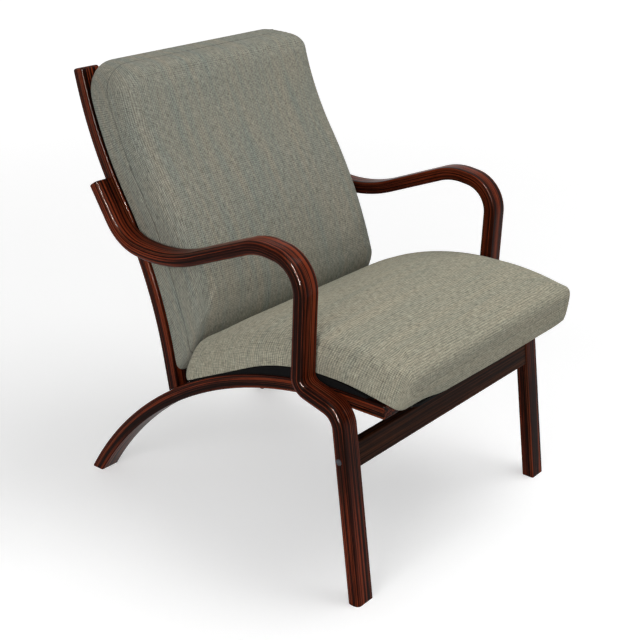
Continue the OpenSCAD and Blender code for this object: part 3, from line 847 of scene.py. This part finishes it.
def dress_cad_nodes():
    """Gives each carried-over node the material of its slot in the record."""
    slots = {}
    for item in frame["record"]["subparts"]:
        slots[item["node"]] = item["material_slot"]
    for name, node in frame["nodes"].items():
        mat = SLOT_MATERIALS.get(slots[name], BEECH)
        node.data.materials.clear()
        node.data.materials.append(mat)


# Cushions


def smooth_step(t):
    t = np.clip(t, 0, 1)
    return t * t * (3 - 2 * t)


def rounded_outline(a, b, radii, corner_steps, end_steps, side_steps):
    """Points round a rectangle of half sizes a and b with a radius for each corner.

    Each point is (along, across, way out along, way out across)."""
    signs = [(1, 1), (-1, 1), (-1, -1), (1, -1)]
    centres = [(m * (a - r), n * (b - r), r) for (m, n), r in zip(signs, radii)]
    points = []
    for i, (cx, cy, r) in enumerate(centres):
        for k in range(corner_steps + 1):
            t = math.radians(90 * (i + k / corner_steps))
            points.append((cx + r * math.cos(t), cy + r * math.sin(t), math.cos(t), math.sin(t)))
        nx, ny, next_r = centres[(i + 1) % 4]
        t = math.radians(90 * (i + 1))
        start = np.array([cx + r * math.cos(t), cy + r * math.sin(t)])
        end = np.array([nx + next_r * math.cos(t), ny + next_r * math.sin(t)])
        steps = side_steps if i % 2 == 0 else end_steps
        for k in range(1, steps):
            points.append((*(start + (end - start) * k / steps), math.cos(t), math.sin(t)))
    return points


def wall_heights(low, high, seam):
    """Heights of the rows up a side, close together on both sides of a seam."""
    steps = max(2, round((high - low) / ROW_PITCH))
    rows = [low + (high - low) * k / steps for k in range(1, steps)]
    rows = [n for n in rows if abs(n - seam) > 2 * SEAM_HALF]
    return sorted(rows + [seam - SEAM_HALF, seam, seam + SEAM_HALF])


def pad_rings(pad):
    """(inset, share of the ring kept, height) from the rim under the cushion to its crown."""
    t, e, h = pad["thick"], pad["inset"], pad["rise"]
    fold, low, low_r = pad["fold"], pad["low"], pad["low_r"]
    rings = [(fold, 1, pad["lift"] + CLEAR), (fold, 1, low + LIP), (fold - LIP_IN, 1, low)]
    for k in range(LOW_STEPS + 1):
        a = math.radians(90 * k / LOW_STEPS)
        rings.append((low_r * (1 - math.sin(a)), 1, low + low_r * (1 - math.cos(a))))
    base, top = low + low_r, t - h
    for n in wall_heights(base, top, pad["seam"]):
        bulge = pad["swell"] * math.sin(math.pi * (n - base) / (top - base))
        rings.append((-bulge, 1, n))
    for k in range(EDGE_STEPS + 1):
        a = math.radians(90 * k / EDGE_STEPS)
        rings.append((e * (1 - math.cos(a)), 1, t - h + h * math.sin(a)))
    for k in range(1, CROWN_STEPS):
        q = 1 - k / CROWN_STEPS
        rings.append((e, q, t + pad["crown"] * (1 - q * q)))
    return rings


def ladder(first, count):
    """Four-sided faces that fill a ring of points, from one end to the other."""
    last = first + count - 1
    return [(first + i, first + i + 1, last - i - 1, last - i) for i in range(count // 2 - 1)]


def pad_mesh(name, rows, start, end, pad):
    """A crowned cushion on a curved panel, closed underneath, and the height of each point."""
    half_l = (end - start) / 2
    half_w = pad["width"] / 2
    rings = pad_rings(pad)
    verts, weave, heights = [], [], []
    for j, (inset, kept, n) in enumerate(rings):
        radii = [max(r - inset, LEAST_CORNER_R) for r in pad["radii"]]
        outline = rounded_outline(half_l - inset, half_w - inset, radii, **OUTLINE_STEPS)
        pull = pad["pull"] * kept * smooth_step((n - pad["lift"]) / PULL_RUN)
        over = max(n - pad["lift"], 0) / (pad["thick"] - pad["lift"])
        low = start + pad["toe"] * over ** pad["toe_power"]
        high = end - pad["tip"] * max(n, 0) / pad["thick"]
        for px, py, _, _ in outline:
            u = px * kept / half_l
            w = py * kept / half_w
            s = (low + high) / 2 + u * (1 - pull / half_l * (1 - w * w)) * (high - low) / 2
            y = w * (half_w - pull * (1 - u * u))
            swell = pad["brow"] * np.clip((s - pad["brow_from"]) / BROW_RUN, 0, 1)
            low_share = np.clip(1 - (n - pad["low"]) / NOSE_UP, 0, 1)
            nose = pad["nose"] + pad["curl"] * smooth_step((CURL_FROM - y) / CURL_RUN)
            if pad["nose"]:
                nose += RAIL_CLEAR * smooth_step((y - RAIL_IN) / RAIL_RUN)
            rise = nose * low_share * np.clip((s - end) / NOSE_RUN + 1, 0, 1) if j else 0
            corner = smooth_step((-y - SETBACK_FROM) / SETBACK_RUN)
            s -= pad["setback"] * low_share * corner * smooth_step((s - end) / NOSE_UP + 1)
            x, z, h = place_at(rows, s)
            off = pad["side"] * (n + rise + swell * over)
            verts.append((x - off * math.sin(h), y, z + off * math.cos(h)))
            weave.append((s, y, n))
            heights.append(n)
    m = len(outline)
    verts = np.array(verts)
    weave = np.array(weave)
    rim = weave[:m].copy()
    ways = np.array([p[2:] for p in outline])
    edge = max(j for j, ring in enumerate(rings) if ring[1] == 1)
    for j in range(edge - 1, -1, -1):
        here, above = slice(j * m, (j + 1) * m), slice((j + 1) * m, (j + 2) * m)
        step = np.linalg.norm(verts[here] - verts[above], axis=1)
        weave[here, :2] = weave[above, :2] + ways * step[:, None]
    faces = []
    for j in range(len(rings) - 1):
        for k in range(m):
            a = j * m + k
            b = j * m + (k + 1) % m
            faces.append((a, b, b + m, a + m))
    faces += ladder((len(rings) - 1) * m, m)
    verts = list(map(tuple, verts))
    weave = list(map(tuple, weave))
    previous = 0
    for q in BASE_SHARES:
        bottom = len(verts)
        for s, y, _ in rim:
            s = (start + end) / 2 + (s - (start + end) / 2) * q
            x, z, h = place_at(rows, s)
            off = pad["side"] * (pad["lift"] + CLEAR)
            verts.append((x - off * math.sin(h), y * q, z + off * math.cos(h)))
            weave.append((s, y * q, 0))
            heights.append(UNDERSIDE)
        for k in range(m):
            a = previous + k
            b = previous + (k + 1) % m
            faces.append((a, b, bottom + (k + 1) % m, bottom + k))
        previous = bottom
    faces += ladder(previous, m)
    piece = piece_from(name, verts, faces, ALL_SMOOTH)
    keep_vectors(piece.data, "weave", np.array(weave) * MM)
    return piece, np.array(heights)


def inflate(piece, held, cap):
    """Cloth simulation: the filling's pressure swells the cover, each point by its cap at most.

    held is 1 where a point stays on its panel and 0 where it is free."""
    scene = bpy.context.scene
    start = positions(piece.data)
    group = piece.vertex_groups.new(name="held")
    for i, weight in enumerate(held):
        group.add([i], float(weight), "REPLACE")
    cloth = piece.modifiers.new("cover", "CLOTH")
    made = cloth.settings
    made.quality = 6
    made.mass = 0.25
    made.tension_stiffness = made.compression_stiffness = 12
    made.shear_stiffness = 6
    made.bending_stiffness = 0.6
    made.use_pressure = True
    made.uniform_pressure_force = SIM_PRESSURE
    made.vertex_group_mass = "held"
    made.effector_weights.gravity = 0
    cloth.collision_settings.use_collision = False
    cloth.point_cache.frame_start = 1
    cloth.point_cache.frame_end = SIM_FRAMES
    for frame_number in range(1, SIM_FRAMES + 1):
        scene.frame_set(frame_number)
    graph = bpy.context.evaluated_depsgraph_get()
    swollen = positions(piece.evaluated_get(graph).data)
    piece.modifiers.clear()
    piece.vertex_groups.clear()
    scene.frame_set(1)
    move = swollen - start
    normals = np.empty(start.size)
    piece.data.vertices.foreach_get("normal", normals)
    outward = (move * normals.reshape(-1, 3)).sum(axis=1)
    most = np.where(outward < 0, SIM_DRAW_IN, cap) * MM
    far = np.linalg.norm(move, axis=1)
    move *= np.minimum(1, most / np.maximum(far, 1e-9))[:, None]
    piece.data.vertices.foreach_set("co", (start + move).ravel())
    piece.data.update()


def hold_sides(piece):
    """Keeps a cushion's swollen sides clear of the inner faces of the arms."""
    co = positions(piece.data)
    y = co[:, 1] / MM
    over = np.maximum(np.abs(y) - SIDE_LIMIT + SIDE_GIVE, 0)
    held = SIDE_LIMIT - SIDE_GIVE * np.exp(-over / SIDE_GIVE)
    co[:, 1] = np.where(over > 0, np.copysign(held, y), y) * MM
    piece.data.vertices.foreach_set("co", co.ravel())
    piece.data.update()


def press_seam(piece, heights, seam):
    """Draws the row of points at the seam in, and lets the rows beside it stand up a little."""
    mesh = piece.data
    normals = np.empty(len(mesh.vertices) * 3)
    mesh.vertices.foreach_get("normal", normals)
    normals = normals.reshape(-1, 3)
    depth = np.where(np.abs(heights - seam) < SAME_HEIGHT, -SEAM_DEPTH, 0.0)
    beside_seam = np.abs(np.abs(heights - seam) - SEAM_HALF) < SAME_HEIGHT
    depth = np.where(beside_seam, SEAM_PUFF, depth)
    moved = positions(mesh) + normals * depth[:, None] * MM
    mesh.vertices.foreach_set("co", moved.ravel())
    mesh.update()


def cushion(name, rows, start, end, pad, cloth):
    """A cushion that is shaped, swollen by its filling, and pressed in at its seam."""
    piece, heights = pad_mesh(name, rows, start, end, pad)
    free = np.clip((heights - pad["low"] - pad["low_r"]) / HOLD_RUN, 0, 1)
    co = positions(piece.data) / MM
    s, _ = along_and_off(rows, co[:, 0], co[:, 2])
    inflate(piece, 1 - free, SIM_CAP * smooth_step((s - start - QUIET) / QUIET_RUN))
    hold_sides(piece)
    press_seam(piece, heights, pad["seam"])
    finer = piece.modifiers.new("finer", "SUBSURF")
    finer.levels = finer.render_levels = 1
    apply_modifiers(piece)
    finish_shading(piece.data, ALL_SMOOTH)
    piece.data.materials.append(cloth)
    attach(piece, "root")
    return piece


def hem_thickness(d, plain, hem, staple):
    """Thickness of a cloth panel at distance d from its edge; staple is the place along it."""
    thick = hem + (plain - hem) * smooth_step((d - HEM_W) / HEM_FADE + 0.5)
    round_edge = np.sqrt(np.clip(d / HEM_EDGE_R, 0, 1))
    pull = STAPLE_PULL * np.cos(2 * math.pi * staple / STAPLE_PITCH) * math.exp(-d / STAPLE_REACH)
    return max(thick + pull, LEAST_T) * (HEM_EDGE_SHARE + (1 - HEM_EDGE_SHARE) * round_edge)


def panel_stations(low, high):
    """Places across a panel, close together at its hems."""
    edge = [0, 0.3, HEM_EDGE_R, 3, HEM_W - 1, HEM_W, HEM_W + 1, HEM_W + 4]
    count = round((high - low - 2 * edge[-1]) / PANEL_STEP)
    middle = np.linspace(low + edge[-1], high - edge[-1], count + 1)[1:-1]
    return np.array([low + e for e in edge] + list(middle) + [high - e for e in reversed(edge)])


def layer_faces(n, m):
    """Faces of a thin closed piece of two layers, each of n rows of m points."""
    faces = []
    for layer in (0, n * m):
        for i in range(n - 1):
            for k in range(m - 1):
                a = layer + i * m + k
                faces.append((a, a + 1, a + m + 1, a + m))
    rim = list(range(m)) + [i * m + m - 1 for i in range(1, n)]
    rim += [(n - 1) * m + k for k in range(m - 2, -1, -1)] + [i * m for i in range(n - 2, 0, -1)]
    for a, b in zip(rim, rim[1:] + rim[:1]):
        faces.append((a, b, b + n * m, a + n * m))
    return faces


def corner_cut(d, r):
    """How far a side stands back at distance d from the end, where its corner has radius r."""
    gap = max(r - d, 0)
    return r - math.sqrt(max(r * r - gap * gap, 0))


def board(name, rows, start, end, half_w, low, high, radii, narrow, seats, replaced):
    """A bent board with rounded corners; narrow gives where it gets less wide, and its width.

    The radii are in the order of a cushion's radii."""
    corner_share = [
        1 - math.cos(math.radians(90 * k / BOARD_TURN_STEPS)) for k in range(BOARD_TURN_STEPS + 1)
    ]
    first, last = max(radii[1:3]), max(radii[0], radii[3])
    along = [start + first * t for t in corner_share] + [end - last * t for t in corner_share]
    middle = (start + first + BOARD_STEP_GAP, end - last - BOARD_STEP_GAP)
    along += list(np.arange(*middle, BOARD_STEP))
    if narrow:
        along += [narrow[0] - NARROW_HALF, narrow[0] + NARROW_HALF]
    along = sorted(along)
    shares = np.linspace(-1, 1, BOARD_ACROSS)
    verts = []
    for off in (high, low):
        for s in along:
            x, z, h = place_at(rows, s)
            half = narrow[1] if narrow and s > narrow[0] else half_w
            for q in shares:
                ends = (radii[0], radii[1]) if q > 0 else (radii[3], radii[2])
                cut = max(corner_cut(end - s, ends[0]), corner_cut(s - start, ends[1]))
                verts.append((x - off * math.sin(h), q * (half - cut), z + off * math.cos(h)))
    piece = piece_from(name, verts, layer_faces(len(along), len(shares)), BOARD_SHARP)
    cut_seats(piece, seats)
    finish_shading(piece.data, BOARD_SHARP)
    piece.data.materials.append(BLACK_BOARD)
    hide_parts(replaced)
    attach(piece, "root")
    return piece


def cloth_panel(name, rows, start, end, half_w, near, way, plain, hem, cloth):
    """A stretched cloth panel with turned hems.

    near is the offset of its inner face, and way (1 or -1) the side on which its outer face lies."""
    along = panel_stations(start, end)
    across = panel_stations(-half_w, half_w)
    verts, weave = [], []
    for face in (1, 0):
        for s in along:
            x, z, h = place_at(rows, s)
            for y in across:
                end_gap = min(s - start, end - s)
                side_gap = half_w - abs(y)
                d = min(end_gap, side_gap)
                t = hem_thickness(d, plain, hem, s if side_gap < end_gap else y)
                off = near + way * face * t
                verts.append((x - off * math.sin(h), y, z + off * math.cos(h)))
                weave.append((s, y, off))
    piece = piece_from(name, verts, layer_faces(len(along), len(across)), PANEL_SHARP)
    keep_vectors(piece.data, "weave", np.array(weave) * MM)
    piece.data.materials.append(cloth)
    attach(piece, "root")
    return piece


# Build

dress_cad_nodes()

RAIL_RADII = (RAIL_EDGE_R, RAIL_EDGE_R)
for side, hand in ((-1, "right"), (1, "left")):
    shift = GRAIN_OF_HAND[hand]
    arm = bent_strip(
        f"arm_strip_{hand}", ARM_PATH, side, HALF_IN, (RAIL_EDGE_R, ARM_EDGE_R), 0, ARM_END_R
    )
    cut_at_floor(arm)
    finish_strip(arm, ARM_PATH, ["front_rail_caps"], CAP_GAP, shift, f"arm_leg_{hand}")

    rail = bent_strip(f"rail_strip_{hand}", RAIL_PATH, side, RAIL_IN, RAIL_RADII, RAIL_END_R, 0)
    cut_at_floor(rail)
    finish_strip(
        rail, RAIL_PATH, ["arm_rail_screws", "seat_bolts"], FASTENER_GAP, shift + RAIL_GRAIN,
        f"seat_rail_{hand}",
    )

    upright = bent_strip(
        f"upright_strip_{hand}", UPRIGHT_PATH, side, RAIL_IN, RAIL_RADII, 0, UPRIGHT_END_R,
        arch_trim,
    )
    finish_strip(
        upright, UPRIGHT_PATH, ["arm_upright_screws", "back_screws"], FASTENER_GAP,
        shift + UPRIGHT_GRAIN, f"back_upright_{hand}",
    )

seat_rows = track(SEAT_PATH)
seat_fine = track(SEAT_PATH, FINE)
step_s = along_and_off(seat_fine, np.array(SEAT_STEP[:1]), np.array(SEAT_STEP[1:]))[0][0]
board(
    "seat_board", seat_rows, SEAT_BOARD_IN, seat_rows[-1, 3] - SEAT_BOARD_IN,
    SEAT["width"] / 2 - SEAT_BOARD_IN, -SEAT_PANEL_T, 0, SEAT_BOARD_RADII,
    (step_s, RAIL_IN - SEAT_GAP), ["seat_bolts", "seat_tee_nuts"], "seat_panel",
)
seat_end = seat_rows[-1, 3] + SEAT_FRONT
seat = cushion("seat_cushion", seat_rows, SEAT_START, seat_end, SEAT, SEAT_CLOTH)
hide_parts("seat_cover", "seat_foam")

BACK_PATH = beside(UPRIGHT_PATH, -STRIP_T / 2 - SEAT_GAP)
back_rows = track(BACK_PATH)
back_start = (BACK_LOW_Z - BACK_PATH[0][1]) / math.sin(back_rows[0, 2])
back_end = back_rows[-1, 3] - (BACK_PATH[-1][1] - BACK_TOP_Z) / math.sin(back_rows[-1, 2])
back = cushion("back_cushion", back_rows, back_start, back_end + TOP_STAND, BACK, BACK_CLOTH)
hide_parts("back_cover", "back_foam")

board(
    "back_board", back_rows, back_start + BACK_BOARD_IN, back_end - BACK_BOARD_IN,
    BACK["width"] / 2 - BACK_BOARD_IN, -BACK["lift"], 0, BACK_BOARD_RADII, None,
    ["back_screws"], "back_panel",
)

rear_start, rear_end = back_start + REAR_COVER_INSET, back_end - REAR_COVER_INSET
rear_half = RAIL_IN - SEAT_GAP
rear_cover = cloth_panel(
    "rear_cover", back_rows, rear_start, rear_end, rear_half, SEAT_GAP, 1, REAR_COVER_T,
    REAR_HEM_T, BACK_CLOTH,
)
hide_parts("back_rear_cover")

dust_start, dust_end = DUST_REAR, seat_rows[-1, 3] - DUST_FRONT
dust_half = RAIL_IN - DUST_SIDE
dust_cover = cloth_panel(
    "dust_cover", seat_rows, dust_start, dust_end, dust_half, -SEAT_PANEL_T - SEAT_GAP, -1,
    DUST_COVER_T, DUST_HEM_T, DUST_CLOTH,
)
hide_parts("seat_dust_cover")


# Floor, light and camera


def background_rays(tree):
    """1 for the rays of camera, gloss and glass, that see the white background."""
    rays = add(tree, "ShaderNodeLightPath")
    seen = maths(tree, "MAXIMUM", rays.outputs["Is Camera Ray"], rays.outputs["Is Glossy Ray"])
    return maths(tree, "MAXIMUM", seen, rays.outputs["Is Transmission Ray"])


def make_floor():
    """A pale floor whose glow rises away from the chair, where the lamps no longer reach."""
    mesh = bpy.data.meshes.new("floor")
    mesh.from_pydata(
        [(-FLOOR, -FLOOR, 0), (FLOOR, -FLOOR, 0), (FLOOR, FLOOR, 0), (-FLOOR, FLOOR, 0)], [],
        [(0, 1, 2, 3)],
    )
    floor = bpy.data.objects.new("floor", mesh)
    bpy.context.scene.collection.objects.link(floor)
    mat, tree, shader = new_material("floor_white")
    shader.inputs["Base Color"].default_value = (0.8, 0.8, 0.8, 1)
    shader.inputs["Roughness"].default_value = 0.9
    shader.inputs["Specular IOR Level"].default_value = 0.1
    place = add(tree, "ShaderNodeTexCoord").outputs["Object"]
    away = add(tree, "ShaderNodeVectorMath", {0: place}, operation="LENGTH").outputs["Value"]
    strength = spread(tree, away, *GLOW_REACH, *GLOW)
    glow = add(tree, "ShaderNodeEmission", {"Color": (1, 1, 1, 1), "Strength": strength})
    both = add(tree, "ShaderNodeAddShader", {0: shader.outputs[0], 1: glow.outputs[0]})
    pick = add(
        tree, "ShaderNodeMixShader",
        {0: background_rays(tree), 1: shader.outputs[0], 2: both.outputs[0]},
    )
    tree.links.new(pick.outputs[0], tree.nodes["Material Output"].inputs["Surface"])
    mesh.materials.append(mat)


def make_world():
    world = bpy.data.worlds.new("studio")
    bpy.context.scene.world = world
    world.use_nodes = True
    tree = world.node_tree
    soft = tree.nodes["Background"]
    soft.inputs["Color"].default_value = (1, 1, 1, 1)
    soft.inputs["Strength"].default_value = SKY
    white = add(tree, "ShaderNodeBackground", {"Color": (1, 1, 1, 1), "Strength": 1.0})
    pick = add(
        tree, "ShaderNodeMixShader",
        {0: background_rays(tree), 1: soft.outputs[0], 2: white.outputs[0]},
    )
    tree.links.new(pick.outputs[0], tree.nodes["World Output"].inputs["Surface"])


def area_light(name, at, target, size, power):
    data = bpy.data.lights.new(name, "AREA")
    data.shape = "RECTANGLE"
    data.size, data.size_y = size
    data.energy = power
    lamp = bpy.data.objects.new(name, data)
    bpy.context.scene.collection.objects.link(lamp)
    lamp.location = at
    lamp.rotation_euler = (Vector(target) - Vector(at)).to_track_quat("-Z", "Y").to_euler()
    return lamp


def make_camera():
    """The photograph's view: from the right front, looking down."""
    turn = math.radians(CAMERA_TURN)
    dip = math.radians(CAMERA_DIP)
    data = bpy.data.cameras.new("camera")
    data.lens = CAMERA_LENS
    data.shift_y = CAMERA_SHIFT_Y
    camera = bpy.data.objects.new("camera", data)
    bpy.context.scene.collection.objects.link(camera)
    camera.location = CAMERA_AT
    way = Vector((
        -math.sin(turn) * math.cos(dip), math.cos(turn) * math.cos(dip), -math.sin(dip)
    ))
    camera.rotation_euler = way.to_track_quat("-Z", "Y").to_euler()
    bpy.context.scene.camera = camera


make_floor()
make_world()
area_light("top_light", *TOP_LAMP)
area_light("side_light", *SIDE_LAMP)
gleam = area_light("gleam_light", *GLEAM_LAMP)
# No diffuse ray sees the gleam lamp, so it shows in the lacquer and hardly lights the cloth
gleam.visible_diffuse = False
make_camera()
bpy.context.scene.view_settings.view_transform = "Standard"
